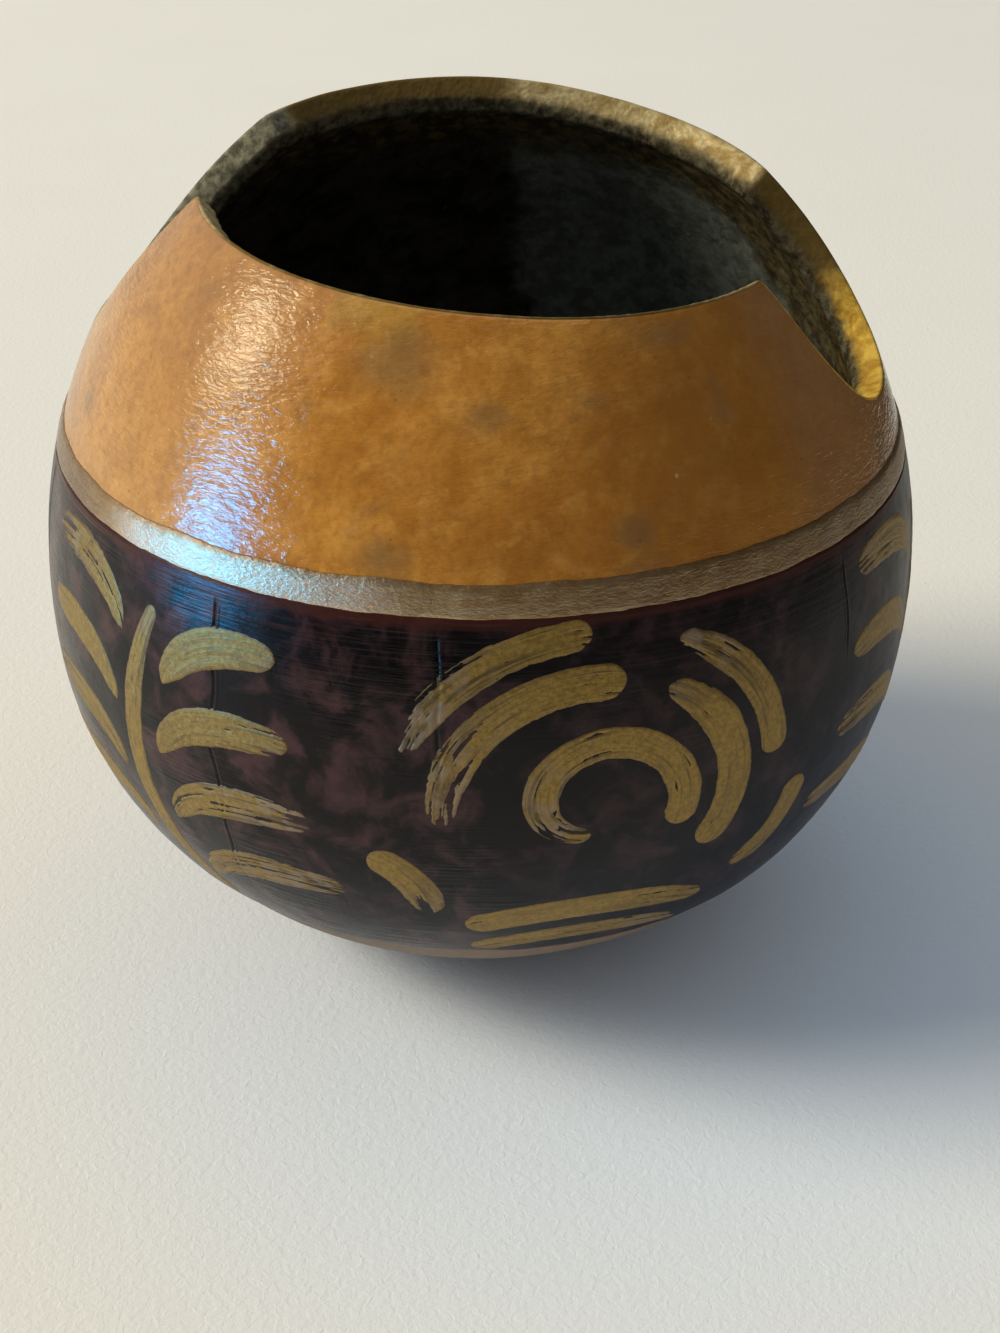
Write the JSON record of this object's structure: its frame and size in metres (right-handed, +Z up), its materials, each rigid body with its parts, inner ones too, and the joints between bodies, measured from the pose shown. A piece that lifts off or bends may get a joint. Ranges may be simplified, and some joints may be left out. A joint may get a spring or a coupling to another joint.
{
  "type": "gourd bowl",
  "caption": "Round gourd bowl with two scooped rim notches, gilded lip, silver band, dark lacquered lower half and a gold brushwork frieze.",
  "frame": {"origin": "middle of the flat seat on the underside, on the bowl's upright axis", "axes": "+Z up along the bowl's axis, -Y is the front, the two rim notches lie towards +X and -X"},
  "size_m": [0.1157, 0.1156, 0.1069],
  "materials": {
    "gourd": "varnished, mottled ochre gourd skin",
    "lining": "matt charcoal paint over rough pith",
    "lacquer": "glossy aubergine lacquer",
    "silver": "brushed silver paint",
    "gold": "brushed gold paint"
  },
  "bodies": {
    "root": {"fern_1_left_leaf_1": "gold", "fern_1_left_leaf_2": "gold", "fern_1_left_leaf_3": "gold", "fern_1_left_leaf_4": "gold", "fern_1_right_leaf_1": "gold", "fern_1_right_leaf_2": "gold", "fern_1_right_leaf_3": "gold", "fern_1_right_leaf_4": "gold", "fern_1_stem": "gold", "fern_2_left_leaf_1": "gold", "fern_2_left_leaf_2": "gold", "fern_2_left_leaf_3": "gold", "fern_2_left_leaf_4": "gold", "fern_2_right_leaf_1": "gold", "fern_2_right_leaf_2": "gold", "fern_2_right_leaf_3": "gold", "fern_2_right_leaf_4": "gold", "fern_2_stem": "gold", "fern_3_left_leaf_1": "gold", "fern_3_left_leaf_2": "gold", "fern_3_left_leaf_3": "gold", "fern_3_left_leaf_4": "gold", "fern_3_right_leaf_1": "gold", "fern_3_right_leaf_2": "gold", "fern_3_right_leaf_3": "gold", "fern_3_right_leaf_4": "gold", "fern_3_stem": "gold", "gourd_shell": "gourd", "interior_coat": "lining", "lacquer_coat": "lacquer", "rim_gilding": "gold", "scroll_1_curl": "gold", "scroll_1_far_ring_left": "gold", "scroll_1_far_ring_right": "gold", "scroll_1_high_ripple": "gold", "scroll_1_left_dab": "gold", "scroll_1_low_ripple": "gold", "scroll_1_near_ring_left": "gold", "scroll_1_near_ring_right": "gold", "scroll_1_right_dab": "gold", "scroll_2_curl": "gold", "scroll_2_far_ring_left": "gold", "scroll_2_far_ring_right": "gold", "scroll_2_high_ripple": "gold", "scroll_2_left_dab": "gold", "scroll_2_low_ripple": "gold", "scroll_2_near_ring_left": "gold", "scroll_2_near_ring_right": "gold", "scroll_2_right_dab": "gold", "scroll_3_curl": "gold", "scroll_3_far_ring_left": "gold", "scroll_3_far_ring_right": "gold", "scroll_3_high_ripple": "gold", "scroll_3_left_dab": "gold", "scroll_3_low_ripple": "gold", "scroll_3_near_ring_left": "gold", "scroll_3_near_ring_right": "gold", "scroll_3_right_dab": "gold", "silver_band": "silver"}
  },
  "joints": []
}
